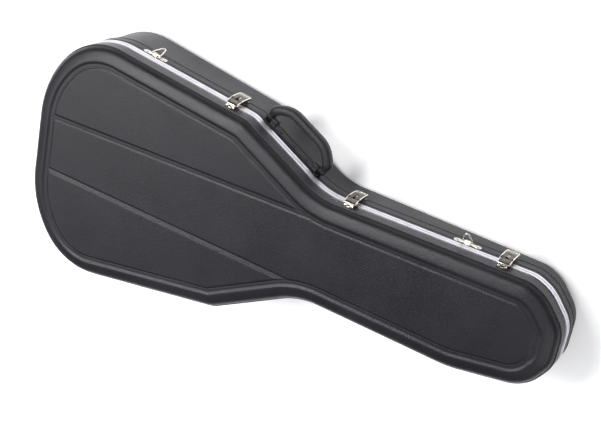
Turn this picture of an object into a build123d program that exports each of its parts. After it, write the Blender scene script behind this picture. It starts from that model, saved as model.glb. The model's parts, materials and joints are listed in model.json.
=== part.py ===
from build123d import *
import os
from math import atan, cos, degrees, hypot, sin, tan

# Hard-shell acoustic guitar case: two moulded ABS shells joined by an aluminium valance, shut by
# draw latches on the treble side and hinged on the bass side, lined with plush over foam.
#
# Everything is modelled in the valance frame, in millimetres: the valance's parting plane is z = 0,
# x runs from the tail (lower bout) end at 0 to the head end, +y is the handle side and +z the lid.
# seat() then lays the case on its back: the base tapers in depth, so its flat bottom becomes Z = 0.

# ---------------------------------------------------------------- driving dimensions
LENGTH = 1090.0          # over the valance, tail to head
SHELL = 2.6              # ABS wall
LID_HEIGHT = 48.0        # parting plane to the lid's crown
LID_LEDGE = 31.0         # top of the lid's upright wall
LID_EDGE_RADIUS = 16.0
BASE_LEDGE = 37.0        # depth of the step in the base wall
BASE_DEPTH_TAIL = 140.0  # parting plane to the bottom at x = 0
BASE_DEPTH_HEAD = 75.0   # parting plane to the bottom at x = LENGTH
BASE_EDGE_RADIUS = 18.0
WALL_INSET = 1.6         # shell wall behind the valance's outer face
LOWER_INSET = 4.8        # base wall below the step
CROWN_INSET = 2.8        # lid above its ledge
VALANCE_HEIGHT = 8.0     # each half of the valance
VALANCE_WIDTH = 7.8      # of the channel that grips the shell's rim
VALANCE_WEB = 3.0
VALANCE_LIP = 1.3
PARTING_GAP = 0.15       # from the parting plane to each half
TONGUE_INSET = 8.3       # locating rib on the lid's half, inside the base's
TONGUE = 1.4
TONGUE_DROP = 4.0
GROOVE_INSET = 30.0      # outer edge of the pressed channel that borders the lid
GROOVE_WIDTH = 14.0
GROOVE_DEPTH = 2.0
RIB_WIDTH = 11.0         # of the two pressed channels that run along the lid
FOAM_FLOOR = 16.0
FOAM_RIM = 3.0           # top of the base foam below the parting plane
LID_PAD = 12.0
LID_RIM = 12.0           # width of the foam rim inside the lid, past the valance
PLUSH = 2.0              # lining thickness
GAP = 0.2                # air between pieces that only lie against each other
RUN = 0.05               # radial clearance of a pin in its bore

WEDGE = atan((BASE_DEPTH_TAIL - BASE_DEPTH_HEAD) / LENGTH)

# Outline of the valance: corner x, y and rounding radius, tail end first, then the treble side.
TAIL_TREBLE = (0.0, 135.0, 200.0)
LOWER_TREBLE = (97.8, 245.3, 130.0)
UPPER_TREBLE = (442.8, 192.9, 50.0)
NECK_TREBLE = (610.1, 101.1, 134.0)
HEAD_TREBLE = (1014.2, 98.5, 60.0)
HEAD_TREBLE_CORNER = (1047.4, 83.7, 80.0)
END_TREBLE = (LENGTH, 35.0, 60.0)
END_BASS = (LENGTH, -35.0, 60.0)
HEAD_BASS_CORNER = (1052.8, -93.0, 80.0)
HEAD_BASS = (911.7, -114.8, 200.0)
NECK_BASS = (610.1, -101.1, 134.0)
UPPER_BASS = (442.8, -192.9, 50.0)
LOWER_BASS = (97.8, -245.3, 130.0)
TAIL_BASS = (0.0, -135.0, 200.0)
OUTLINE = [TAIL_TREBLE, LOWER_TREBLE, UPPER_TREBLE, NECK_TREBLE, HEAD_TREBLE, HEAD_TREBLE_CORNER,
           END_TREBLE, END_BASS, HEAD_BASS_CORNER, HEAD_BASS, NECK_BASS, UPPER_BASS, LOWER_BASS,
           TAIL_BASS]

# Centre lines of the two channels pressed along the lid.
RIB_LINES = [((33.0, 64.0), (616.0, 66.0)), ((33.0, -46.0), (598.0, -72.0))]

# Where the fittings sit: the wall they are on and the distance along it.
LATCH_PLACES = [("side", 304.0), ("neck", 52.0), ("neck", 346.0), ("tail", 135.0)]
HINGE_PLACES = [("bass", 102.0), ("bass", 205.0), ("bass", 308.0)]
STRAP_PLACES = [("side", 112.0), ("neck", 268.0)]
HANDLE_PLACE = ("shoulder", 86.0)

# Latch: an over-centre lever on the base whose claw hooks over a keeper on the lid.
LEVER_WIDTH = 24.0
LEVER_PIVOT = (8.0, 0.5)        # distance from the valance face, height
CLAW_PIVOT = (3.5, -10.5)
LATCH_PIN = 1.5
CLAW_PIN = 1.2
EAR_INNER = 9.0                 # half width between the base plate's ears
EAR = 1.5
PLATE_FACE = -0.2               # outer face of the let-in plates, from the valance face
LATCH_PLATE = (-35.0, -9.0)     # bottom and top of a latch's base plate
LATCH_RIVETS = (-29.0, -18.0)   # heights
KEEPER = (8.6, 25.0)            # bottom and top of the keeper
KEEPER_HALF = 9.0
KEEPER_BAR = (12.3, 14.3, 2.2)  # bottom, top and outer face
KEEPER_RIVETS = (5.0, 20.0)     # distance from the middle, height
CLAW_HALF = 6.6                 # half width of the claw between the lever's lugs
HOOK_HALF = 8.7
HOOK = (15.6, 17.2)             # bottom and top of the hook behind the keeper's bar
CLAW_FACES = (2.8, 4.3)
LUG = (7.0, 8.5)                # the lever's inner lugs, from the middle

# Hinge
HINGE_LENGTH = 60.0
HINGE_AXIS = 4.2                # pin axis out from the valance face
HINGE_BARREL = 3.4
HINGE_PIN = 1.5
KNUCKLES = 5
KNUCKLE_GAP = 0.2               # at each end of a knuckle
HINGE_LEAF = (9.0, 30.0)        # near and far edge of a leaf from the parting plane
HINGE_RIVETS = (22.0, 23.0)     # spacing along the leaf, height

# Handle
HANDLE_SPAN = 150.0
HANDLE_REACH = 57.0             # outer face of the grip from the valance face
HANDLE_AXIS = 8.0
HANDLE_FOOT = 6.0               # radius of the grip's feet round their pins
HANDLE_HEIGHT = -23.0
GRIP_DEPTH = 18.0
GRIP_WIDTH = 20.0
HANDLE_PIN = 2.5
HANDLE_PLATE = (-36.0, -9.6)    # bottom and top of the base plate
HANDLE_FACE = 1.4               # the plate's outer face
HANDLE_LEG = 13.4               # length of a foot along the wall
HANDLE_BOSS = (12.0, 14.0)      # length and height of the plate's two bosses
HANDLE_TOP = 43.0               # half length of the grip's straight bar
HANDLE_KNEE = 27.0              # where the grip's legs start to slope
HANDLE_RIVETS = 34.0            # spacing

# Strap fittings
STRAP_PLATE = (54.0, 13.0, 1.5)
STRAP_HEIGHT = -16.5
RING_WIRE = 1.4
RING_WIDTH = 18.0
RING_LENGTH = 29.0
RING_AXIS = 3.2
RING_ANGLES = [-82.0, 40.0]     # first hangs against the base, second leans to the lid

# Interior
BODY_CIRCLE = (232.0, 200.0)    # centre x and radius of the lower bout
UPPER_CIRCLE = (420.0, 148.0)
WAIST_RADIUS = 70.0
NECK_WELL = (520.0, 1050.0, 74.0)   # from, to, half width
WELL_RADIUS = 50.0
CRADLE = (806.0, 46.0)          # neck rest: centre x and thickness
COMPARTMENT = (592.0, 772.0)    # accessory compartment: outside faces of its end walls
BOARD = 5.0                     # compartment walls, shelf and flap
COMPARTMENT_TOP = -30.0         # underside of the compartment's shelf and flap
FLAP_AXIS = 21.0                # hinge line of the compartment's flap, y
COMPARTMENT_PIN = 1.0
COMPARTMENT_BARREL = 2.2


# ---------------------------------------------------------------- outline
def corner_vectors(corners):
    """Unit direction of the side that leaves each corner, in order."""
    sides = []
    for here, there in zip(corners, corners[1:] + corners[:1]):
        length = hypot(there[0] - here[0], there[1] - here[1])
        sides.append(((there[0] - here[0]) / length, (there[1] - here[1]) / length))
    return sides


def inset_outline(inset):
    """The outline's corners moved inward by inset, with radii that keep every curve parallel."""
    sides = corner_vectors(OUTLINE)
    moved = []
    for corner, before, after in zip(OUTLINE, sides[-1:] + sides[:-1], sides):
        turn = before[0] * after[1] - before[1] * after[0]      # the outline runs clockwise
        dot = before[0] * after[0] + before[1] * after[1]
        normals = (before[1] + after[1], -before[0] - after[0])
        scale = inset / (1 + dot)
        radius = corner[2] - inset if turn < 0 else corner[2] + inset
        moved.append((corner[0] + normals[0] * scale, corner[1] + normals[1] * scale, radius))
    return moved


def outline_face(inset, z=0.0):
    """The outline, moved inward by inset, as a face at height z."""
    corners = inset_outline(inset)
    points = [(x, y) for x, y, radius in corners]
    wire = FilletPolyline(*points, radius=[radius for x, y, radius in corners], close=True)
    return Location((0, 0, z)) * make_face(wire)


def prism(inset, low, high):
    """Upright solid with the outline's plan, from z = low to z = high."""
    return extrude(outline_face(inset, low), high - low, dir=(0, 0, 1))


def below_bottom(lift):
    """Everything under the case's bottom plane raised by lift."""
    size = 4 * LENGTH
    block = Box(size, size, size, align=(Align.CENTER, Align.CENTER, Align.MAX))
    tilt = Location((0, 0, -BASE_DEPTH_TAIL), (0, -degrees(WEDGE), 0))
    return tilt * Location((0, 0, lift)) * block


def bottom_edges(solid, lift):
    """Edges of solid that lie on the bottom plane raised by lift."""
    found = []
    for edge in solid.edges():
        points = [edge @ 0, edge @ 0.5, edge @ 1]
        off = [abs(-sin(WEDGE) * p.X + cos(WEDGE) * (p.Z + BASE_DEPTH_TAIL) - lift) for p in points]
        if max(off) < 0.01:
            found.append(edge)
    return found


def top_edges(solid, height):
    """Edges of solid that lie in the plane z = height."""
    return [e for e in solid.edges() if all(abs((e @ t).Z - height) < 0.01 for t in (0, 0.5, 1))]


def base_body(inset, top, lift, radius):
    """A layer of the base: upright wall, bottom raised by lift and rounded edge."""
    solid = prism(inset, -BASE_DEPTH_TAIL - 20, top) - below_bottom(lift)
    return fillet(bottom_edges(solid, lift), radius)


def lid_body(inset, low, height, radius):
    """A layer of the lid: upright wall and rounded crown edge."""
    solid = prism(inset, low, height)
    return fillet(top_edges(solid, height), radius)


# ---------------------------------------------------------------- placing
def wall_frame(wall, along):
    """Where a fitting sits: its frame has x along the wall, y outward and z up."""
    ends = {
        "side": (LOWER_TREBLE, UPPER_TREBLE),
        "shoulder": (UPPER_TREBLE, NECK_TREBLE),
        "neck": (NECK_TREBLE, HEAD_TREBLE),
        "tail": (TAIL_BASS, TAIL_TREBLE),
        "bass": (LOWER_BASS, UPPER_BASS),
    }
    start, end = ends[wall]
    length = hypot(end[0] - start[0], end[1] - start[1])
    ux, uy = (end[0] - start[0]) / length, (end[1] - start[1]) / length
    if wall == "bass":
        x_dir, outward = (-ux, -uy), (uy, -ux)
    else:
        x_dir, outward = (ux, uy), (-uy, ux)
    place = Plane(
        origin=(start[0] + ux * along, start[1] + uy * along, 0),
        x_dir=(x_dir[0], x_dir[1], 0),
        z_dir=(0, 0, 1),
    )
    assert abs(place.y_dir.X - outward[0]) + abs(place.y_dir.Y - outward[1]) < 1e-6
    return place.location


def seat(solid):
    """Lay the case on its back: bottom on Z = 0, origin under the middle of its length."""
    middle = LENGTH / 2
    depth = BASE_DEPTH_TAIL - middle * tan(WEDGE)
    return solid.moved(Location((0, 0, 0), (0, degrees(WEDGE), 0)) * Location((-middle, 0, depth)))


def side_profile(points):
    """Face in the plane across a wall, from (outward, height) points."""
    return make_face(Polyline(*[(0, n, z) for n, z in points], close=True))


def slab(points, low, high):
    """Sheet-metal cheek: a side profile made solid between two distances along the wall."""
    face = side_profile(points)
    return Location((low, 0, 0)) * extrude(face, high - low, dir=(1, 0, 0))


def rod(radius, centre, low, high):
    """Round bar along the wall, centred on an (outward, height) point."""
    bar = Cylinder(radius, high - low, rotation=(0, 90, 0))
    return Location(((low + high) / 2, centre[0], centre[1])) * bar


def block(x, y, z):
    """Box between pairs of coordinates."""
    solid = Box(x[1] - x[0], y[1] - y[0], z[1] - z[0])
    return Location((sum(x) / 2, sum(y) / 2, sum(z) / 2)) * solid


def rivet(x, z, face, head=3.2, height=1.3, shank=1.6, grip=4.4):
    """Round-headed rivet standing on a plate whose outer face is at face."""
    body = Cylinder(shank, grip, rotation=(90, 0, 0))
    dome = Cylinder(head, height, rotation=(90, 0, 0))
    dome = fillet(dome.edges().sort_by(Axis.Y)[-1], height * 0.6)
    return Location((x, face - grip / 2, z)) * body + Location((x, face + height / 2, z)) * dome


NODES = {}


def node(name, *solids):
    """Keep one named piece, or a group of identical ones, laid on its back."""
    seated = [seat(part) for solid in solids for part in solid.solids()]
    NODES[name] = seated[0] if len(seated) == 1 else Compound(children=seated)


# ---------------------------------------------------------------- shells
def make_base_shell():
    upper = prism(WALL_INSET, -BASE_LEDGE, -VALANCE_HEIGHT / 2)
    lower = base_body(LOWER_INSET, -BASE_LEDGE, 0, BASE_EDGE_RADIUS)
    hollow = base_body(LOWER_INSET + SHELL, 1, SHELL, BASE_EDGE_RADIUS - SHELL)
    hollow += prism(WALL_INSET + SHELL, SHELL - BASE_LEDGE, 1)
    return upper + lower - hollow


def make_lid_shell():
    wall = prism(WALL_INSET, VALANCE_HEIGHT / 2, LID_LEDGE)
    crown = lid_body(CROWN_INSET, LID_LEDGE - 4, LID_HEIGHT, LID_EDGE_RADIUS)
    hollow = lid_body(CROWN_INSET + SHELL, 0, LID_HEIGHT - SHELL - GROOVE_DEPTH,
                      LID_EDGE_RADIUS - SHELL)
    shell = wall + crown - hollow
    floor = LID_HEIGHT - GROOVE_DEPTH
    ring = prism(GROOVE_INSET, floor, LID_HEIGHT + 1)
    ring -= prism(GROOVE_INSET + GROOVE_WIDTH, floor - 1, LID_HEIGHT + 2)
    shell -= ring
    for start, end in RIB_LINES:
        run = hypot(end[0] - start[0], end[1] - start[1])
        angle = degrees(atan((end[1] - start[1]) / (end[0] - start[0])))
        channel = Box(run, RIB_WIDTH, GROOVE_DEPTH * 2)
        middle = ((start[0] + end[0]) / 2, (start[1] + end[1]) / 2, LID_HEIGHT)
        shell -= Location(middle, (0, 0, angle)) * channel
    return shell


def make_valance(side):
    """Channel extrusion bent round the rim; side is -1 for the base and +1 for the lid."""
    width = VALANCE_WIDTH if side < 0 else TONGUE_INSET + TONGUE
    spans = [
        (0, WALL_INSET - 0.1, PARTING_GAP, VALANCE_HEIGHT),
        (0, width, PARTING_GAP, VALANCE_WEB),
        (VALANCE_WIDTH - VALANCE_LIP, VALANCE_WIDTH, PARTING_GAP, VALANCE_HEIGHT),
    ]
    if side > 0:
        spans.append((TONGUE_INSET, TONGUE_INSET + TONGUE, -TONGUE_DROP, VALANCE_WEB))
    ring = None
    for first, second, near, far in spans:
        low, high = sorted((side * near, side * far))
        band = prism(first, low, high) - prism(second, low - 1, high + 1)
        ring = band if ring is None else ring + band
    return ring


# ---------------------------------------------------------------- interior
def cavity_plan(grow):
    """Plan of the guitar-shaped space, grown outward by grow."""
    lower = Location((BODY_CIRCLE[0], 0)) * Circle(BODY_CIRCLE[1] + grow)
    upper = Location((UPPER_CIRCLE[0], 0)) * Circle(UPPER_CIRCLE[1] + grow)
    body = lower + upper
    waist = [v for v in body.vertices() if BODY_CIRCLE[0] < v.X < UPPER_CIRCLE[0] + 20 and abs(v.Y) > 60]
    body = fillet(waist, WAIST_RADIUS - grow)
    start, end, half = NECK_WELL
    well = Rectangle(end - start + 2 * grow, 2 * (half + grow))
    well = fillet(well.vertices(), WELL_RADIUS + grow)
    body += Location(((start + end) / 2, 0)) * well
    return body


def cavity(grow, top):
    """The guitar-shaped space as a solid, its floor at the foam floor less grow."""
    plan = Location((0, 0, -BASE_DEPTH_TAIL)) * cavity_plan(grow)
    solid = extrude(plan, BASE_DEPTH_TAIL + top, dir=(0, 0, 1))
    return solid - below_bottom(SHELL + FOAM_FLOOR + PLUSH - grow)


FOAM_INSET = LOWER_INSET + SHELL + GAP
RIM_INSET = FOAM_INSET + 3.0


def make_base_foam():
    foam = base_body(FOAM_INSET, -10, SHELL + GAP, BASE_EDGE_RADIUS - SHELL - GAP)
    foam += prism(RIM_INSET, -11, -FOAM_RIM - GAP)
    return foam - cavity(PLUSH + GAP, 10)


def make_base_lining():
    rim = prism(RIM_INSET + 0.4, -FOAM_RIM, -FOAM_RIM + PLUSH)
    liner = cavity(PLUSH, -FOAM_RIM)
    return rim + liner - cavity(0, 10)


def make_lid_foam():
    """The flat pad under the lid's crown and the rim of foam inside its wall."""
    outer = lid_body(CROWN_INSET + SHELL + GAP, 10, LID_HEIGHT - SHELL - GROOVE_DEPTH - GAP,
                     LID_EDGE_RADIUS - SHELL - GAP)
    outer += prism(RIM_INSET, FOAM_RIM + GAP, 11)
    ceiling = LID_HEIGHT - SHELL - GROOVE_DEPTH - LID_PAD
    pad = outer - prism(0, 0, ceiling)
    rim = outer - prism(0, ceiling - GAP, LID_HEIGHT) - prism(RIM_INSET + LID_RIM, 0, ceiling)
    return pad, rim


def make_lid_lining():
    ceiling = LID_HEIGHT - SHELL - GROOVE_DEPTH - LID_PAD - GAP
    hollow = RIM_INSET + LID_RIM + GAP
    rim = prism(RIM_INSET + 0.4, FOAM_RIM - PLUSH, FOAM_RIM)
    liner = prism(hollow, FOAM_RIM - PLUSH, ceiling)
    return rim + liner - prism(hollow + PLUSH, 0, ceiling - PLUSH)


def floor_height(x):
    """Height of the lined floor at x."""
    return -BASE_DEPTH_TAIL + x * tan(WEDGE) + (SHELL + FOAM_FLOOR + PLUSH) / cos(WEDGE)


def standing_board(x, half_width, top):
    """Board across the neck well, its foot cut to the sloping floor."""
    board = block(x, (-half_width, half_width), (-BASE_DEPTH_TAIL, top))
    return board - below_bottom(SHELL + FOAM_FLOOR + PLUSH + GAP)


def make_interior():
    half = NECK_WELL[2] - GAP
    node("base_foam", make_base_foam())
    node("base_lining", make_base_lining())
    for name, x in (("compartment_body_wall", COMPARTMENT[0]),
                    ("compartment_neck_wall", COMPARTMENT[1] - BOARD)):
        node(name, standing_board((x, x + BOARD), half, COMPARTMENT_TOP - GAP))
    centre, thickness = CRADLE
    cradle = standing_board((centre - thickness / 2, centre + thickness / 2), half, -10)
    notch = Location((centre, 0, -4)) * Cylinder(28, thickness + 2, rotation=(0, 90, 0))
    cradle -= notch
    cradle = fillet(cradle.edges().filter_by(Axis.X).sort_by(Axis.Z)[-4:], 3)
    node("neck_cradle", cradle)
    make_compartment_top(half)


def make_compartment_top(half):
    """Fixed shelf under the neck, and beside it a flap on a piano hinge with a fabric pull."""
    low, high = COMPARTMENT_TOP, COMPARTMENT_TOP + BOARD
    axis = (FLAP_AXIS, high + 1.0)
    start, end = COMPARTMENT
    clear = COMPARTMENT_BARREL + 0.4
    leaf = 12.0
    sheet = 0.8
    hinge_from, hinge_to = start + 16, end - 16
    steps = 7
    pitch = (hinge_to - hinge_from) / steps
    flap_leaf = block((hinge_from, hinge_to), (axis[0] + clear, axis[0] + leaf), (high, high + sheet))
    shelf_leaf = block((hinge_from, hinge_to), (axis[0] - leaf, axis[0] - clear), (high, high + sheet))
    for index in range(steps):
        near = hinge_from + index * pitch + 0.2
        far = near + pitch - 0.4
        knuckle = rod(COMPARTMENT_BARREL, axis, near, far)
        if index % 2:
            flap_leaf += knuckle + block((near, far), (axis[0], axis[0] + leaf), (high, high + sheet))
        else:
            shelf_leaf += knuckle + block((near, far), (axis[0] - leaf, axis[0]), (high, high + sheet))
    bore = rod(COMPARTMENT_PIN + RUN, axis, hinge_from - 1, hinge_to + 1)
    node("compartment_flap_leaf", flap_leaf - bore)
    node("compartment_shelf_leaf", shelf_leaf - bore)
    node("compartment_hinge_pin", rod(COMPARTMENT_PIN, axis, hinge_from, hinge_to))
    node("compartment_shelf", block((start, end), (-half, axis[0] - clear), (low, high)))
    node("compartment_flap", block((start, end), (axis[0] + clear, half - 1), (low, high)))
    centre = (start + end) / 2
    node("compartment_pull", block((centre - 9, centre + 9), (half - 28, half - 4), (high, high + 1.2)))


# ---------------------------------------------------------------- fittings
def ear_profile():
    return [(-0.2, -33), (-0.2, -9), (0.6, -8.4), (0.6, -1.5), (4.2, 4.3), (8, 4.6), (12, 0.5),
            (9.5, -9)]


def make_latch(index, wall, along):
    place = wall_frame(wall, along)
    pivot, pull = LEVER_PIVOT, CLAW_PIVOT
    ear_outer = EAR_INNER + EAR
    arm_in, arm_out = ear_outer + 0.3, LEVER_WIDTH / 2
    plate = block((-ear_outer, ear_outer), (-WALL_INSET, PLATE_FACE), LATCH_PLATE)
    for side in (-1, 1):
        low, high = sorted((side * EAR_INNER, side * ear_outer))
        plate += slab(ear_profile(), low, high)
    plate -= rod(LATCH_PIN, pivot, -ear_outer - 1, ear_outer + 1)
    lever = make_lever(pivot, pull, arm_in, arm_out)
    claw = make_claw(pull)
    keeper = block((-KEEPER_HALF, KEEPER_HALF), (-WALL_INSET, PLATE_FACE), KEEPER)
    bar_low, bar_high, bar_face = KEEPER_BAR
    keeper += block((1 - KEEPER_HALF, KEEPER_HALF - 1), (PLATE_FACE - 0.1, bar_face), (bar_low, bar_high))
    pins = [rod(LATCH_PIN, pivot, *sorted((side * EAR_INNER, side * arm_out))) for side in (-1, 1)]
    claw_pin = rod(CLAW_PIN, pull, -LUG[1], LUG[1])
    node(f"latch_{index}_base", place * plate)
    node(f"latch_{index}_lever", place * lever)
    node(f"latch_{index}_claw", place * claw)
    node(f"latch_{index}_keeper", place * keeper)
    node(f"latch_{index}_claw_pin", place * claw_pin)
    base_rivets = [place * rivet(0, z, PLATE_FACE, head=2.6) for z in LATCH_RIVETS]
    spread, height = KEEPER_RIVETS
    lid_rivets = [place * rivet(x, height, PLATE_FACE, head=2.4) for x in (-spread, spread)]
    return [place * pin for pin in pins], base_rivets, lid_rivets


def make_lever(pivot, pull, arm_in, arm_out):
    """Channel-shaped lever: a web near its tip, side arms to the pivot, lugs for the claw's pin."""
    outer = ThreePointArc((0, 11.3, -18), (0, 12.2, -27), (0, 11.4, -38))
    inner = ThreePointArc((0, 10.0, -38), (0, 10.8, -27), (0, 9.9, -18))
    web = make_face([outer, Line((0, 11.4, -38), (0, 10.0, -38)), inner,
                     Line((0, 9.9, -18), (0, 11.3, -18))])
    lever = Location((-arm_out, 0, 0)) * extrude(web, 2 * arm_out, dir=(1, 0, 0))
    arm = [(4.3, 1.5), (6.2, 4.1), (8, 4.5), (10.6, 3.6), (11.6, 0), (11.3, -18), (11.9, -27),
           (11.3, -37.9), (10.0, -37.9), (6.0, -33), (4.6, -20), (4.2, -4)]
    lug = [(pull[0] - 2.2, -10.5), (2.2, -12.8), (9.0, -22), (10.8, -22), (11.1, -18.2), (9.95, -18.1),
           (5.6, -9.4), (3.5, -8.0), (1.8, -8.6)]
    for side in (-1, 1):
        lever += slab(arm, *sorted((side * arm_in, side * arm_out)))
        lever += slab(lug, *sorted((side * LUG[0], side * LUG[1])))
    lever -= rod(LATCH_PIN + RUN, pivot, -arm_out - 1, arm_out + 1)
    lever -= rod(CLAW_PIN, pull, -LUG[1] - 0.5, LUG[1] + 0.5)
    return lever


def make_claw(pull):
    """Strip that turns on the lever's pin and hooks over the keeper."""
    widening = 3.0                  # height at which the strip widens to the hook
    claw = rod(2.3, pull, -CLAW_HALF, CLAW_HALF)
    claw += block((-CLAW_HALF, CLAW_HALF), CLAW_FACES, (pull[1] + 0.5, widening + 5))
    claw += block((-HOOK_HALF, HOOK_HALF), CLAW_FACES, (widening, HOOK[1]))
    claw += block((-HOOK_HALF, HOOK_HALF), (0.6, CLAW_FACES[1]), HOOK)
    return claw - rod(CLAW_PIN + RUN, pull, -CLAW_HALF - 0.4, CLAW_HALF + 0.4)


def hinge_strap(side, low, high):
    """Strip from a knuckle to its leaf; side is -1 for the base and +1 for the lid."""
    points = [(-0.2, -12), (-0.2, -8.9), (0.7, -8.3), (0.7, 0), (HINGE_AXIS, 0), (3.4, -3.6), (2.2, -9)]
    return slab([(n, -side * z) for n, z in points], low, high)


def make_hinge(index, wall, along):
    place = wall_frame(wall, along)
    axis = (HINGE_AXIS, 0.0)
    half = HINGE_LENGTH / 2
    bore = rod(HINGE_PIN + RUN, axis, -half - 1, half + 1)
    leaves = {}
    for side in (-1, 1):
        low, high = sorted((side * HINGE_LEAF[0], side * HINGE_LEAF[1]))
        leaves[side] = block((-half, half), (-WALL_INSET, PLATE_FACE), (low, high))
    pitch = HINGE_LENGTH / KNUCKLES
    for count in range(KNUCKLES):
        start = -half + count * pitch + KNUCKLE_GAP
        end = start + pitch - 2 * KNUCKLE_GAP
        side = 1 if count % 2 else -1
        leaves[side] += rod(HINGE_BARREL, axis, start, end) + hinge_strap(side, start, end)
    node(f"hinge_{index}_base_leaf", place * (leaves[-1] - bore))
    node(f"hinge_{index}_lid_leaf", place * (leaves[1] - bore))
    spacing, height = HINGE_RIVETS
    rivets = {side: [place * rivet(x, side * height, PLATE_FACE, head=2.8) for x in (-spacing, 0, spacing)]
              for side in (-1, 1)}
    return place * rod(HINGE_PIN, axis, -half, half), rivets[-1], rivets[1]


def make_handle():
    place = wall_frame(*HANDLE_PLACE)
    half = HANDLE_SPAN / 2
    boss_length, boss_height = HANDLE_BOSS
    foot_inner = half - HANDLE_LEG
    axis = (HANDLE_AXIS, HANDLE_HEIGHT)
    # the plate stops short at the neck end, where the wall starts to curve
    plate = block((-half, half - 4), (-WALL_INSET, HANDLE_FACE), HANDLE_PLATE)
    plate = fillet(plate.edges().filter_by(Axis.Y), 8)
    for side in (-1, 1):
        span = sorted((side * (foot_inner - 0.6), side * (foot_inner - 0.6 - boss_length)))
        lump = block(span, (0, boss_height),
                     (HANDLE_HEIGHT - boss_height / 2, HANDLE_HEIGHT + boss_height / 2))
        plate += fillet(lump.edges().filter_by(Axis.X).group_by(Axis.Y)[-1], 5)
    plate -= rod(HANDLE_PIN, axis, -half, half)
    middle = HANDLE_REACH - GRIP_DEPTH / 2
    foot = half - HANDLE_LEG / 2
    arch = [(foot, HANDLE_AXIS), (foot, HANDLE_KNEE), (HANDLE_TOP, middle), (-HANDLE_TOP, middle),
            (-foot, HANDLE_KNEE), (-foot, HANDLE_AXIS)]
    line = FilletPolyline(*[(x, y, HANDLE_HEIGHT) for x, y in arch], radius=14)
    section = Plane(origin=line @ 0, x_dir=(1, 0, 0), z_dir=line % 0)
    grip = sweep(section * Ellipse(HANDLE_LEG / 2 - 0.1, HANDLE_FOOT), line)
    oval = Plane(origin=(-HANDLE_TOP, middle, HANDLE_HEIGHT), x_dir=(0, 1, 0), z_dir=(1, 0, 0))
    grip += extrude(oval * Ellipse(GRIP_DEPTH / 2, GRIP_WIDTH / 2), 2 * HANDLE_TOP)
    pins = []
    for side in (-1, 1):
        grip += rod(HANDLE_FOOT, axis, *sorted((side * foot_inner, side * half)))
        pins.append(rod(HANDLE_PIN, axis, *sorted((side * (foot_inner - boss_length), side * (half - 1)))))
    grip -= rod(HANDLE_PIN + RUN, axis, -half + 0.5, half - 0.5)
    node("handle_plate", place * plate)
    node("handle_grip", place * grip)
    node("handle_pins", *[place * pin for pin in pins])
    screws = [place * rivet(x, HANDLE_HEIGHT, HANDLE_FACE, head=3.4, grip=6)
              for x in (-HANDLE_RIVETS, 0, HANDLE_RIVETS)]
    node("handle_rivets", *screws)


def make_strap_fitting(index, wall, along, angle):
    place = wall_frame(wall, along)
    length, height, thickness = STRAP_PLATE
    back = -WALL_INSET
    plate = block((-length / 2, length / 2), (back, back + thickness),
                  (STRAP_HEIGHT - height / 2, STRAP_HEIGHT + height / 2))
    plate = fillet(plate.edges().filter_by(Axis.Y), height / 2 - 0.5)
    axis = (RING_AXIS, STRAP_HEIGHT)
    barrel_half = RING_WIDTH / 2 - 4.5
    barrel = rod(RING_WIRE + 1.4, axis, -barrel_half, barrel_half)
    barrel += block((-barrel_half, barrel_half), (back, axis[0]), (STRAP_HEIGHT - 2.6, STRAP_HEIGHT + 2.6))
    plate += barrel
    plate -= rod(RING_WIRE + RUN, axis, -length / 2, length / 2)
    reach = RING_LENGTH - RING_WIRE
    half = RING_WIDTH / 2
    corners = [(half, 0), (half * 0.95, 7), (2.5, reach), (-2.5, reach), (-half * 0.95, 7), (-half, 0)]
    loop = FilletPolyline(*corners, radius=[2.4, 6, 2.4, 2.4, 6, 2.4], close=True)
    start = loop @ 0
    ring = sweep(Plane(origin=start, z_dir=loop % 0) * Circle(RING_WIRE), loop)
    ring = Location((0, axis[0], axis[1]), (angle, 0, 0)) * ring
    node(f"strap_plate_{index}", place * plate)
    node(f"strap_ring_{index}", place * ring)
    face = back + thickness
    return [place * rivet(x, STRAP_HEIGHT, face, head=2.8) for x in (-19, 19)]


# ---------------------------------------------------------------- the case
def build():
    node("base_shell", make_base_shell())
    node("lid_shell", make_lid_shell())
    node("base_valance", make_valance(-1))
    node("lid_valance", make_valance(1))
    make_interior()
    pad, rim = make_lid_foam()
    node("lid_pad", pad)
    node("lid_foam_rim", rim)
    node("lid_lining", make_lid_lining())
    pivot_pins, latch_base_rivets, latch_lid_rivets = [], [], []
    for index, (wall, along) in enumerate(LATCH_PLACES, 1):
        pins, base_rivets, lid_rivets = make_latch(index, wall, along)
        pivot_pins += pins
        latch_base_rivets += base_rivets
        latch_lid_rivets += lid_rivets
    node("latch_pivot_pins", *pivot_pins)
    node("latch_base_rivets", *latch_base_rivets)
    node("latch_keeper_rivets", *latch_lid_rivets)
    hinge_pins, hinge_base_rivets, hinge_lid_rivets = [], [], []
    for index, (wall, along) in enumerate(HINGE_PLACES, 1):
        pin, base_rivets, lid_rivets = make_hinge(index, wall, along)
        hinge_pins.append(pin)
        hinge_base_rivets += base_rivets
        hinge_lid_rivets += lid_rivets
    node("hinge_pins", *hinge_pins)
    node("hinge_base_rivets", *hinge_base_rivets)
    node("hinge_lid_rivets", *hinge_lid_rivets)
    make_handle()
    strap_rivets = []
    for index, ((wall, along), angle) in enumerate(zip(STRAP_PLACES, RING_ANGLES), 1):
        strap_rivets += make_strap_fitting(index, wall, along, angle)
    node("strap_rivets", *strap_rivets)


def write():
    os.makedirs("parts", exist_ok=True)
    for name, solid in NODES.items():
        export_step(solid, f"parts/{name}.step")
    print(len(NODES), "nodes")


build()
write()
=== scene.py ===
import json
import math

import bmesh
import bpy
import numpy as np
from mathutils import Matrix, Vector, noise
from mathutils.geometry import delaunay_2d_cdt


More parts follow.
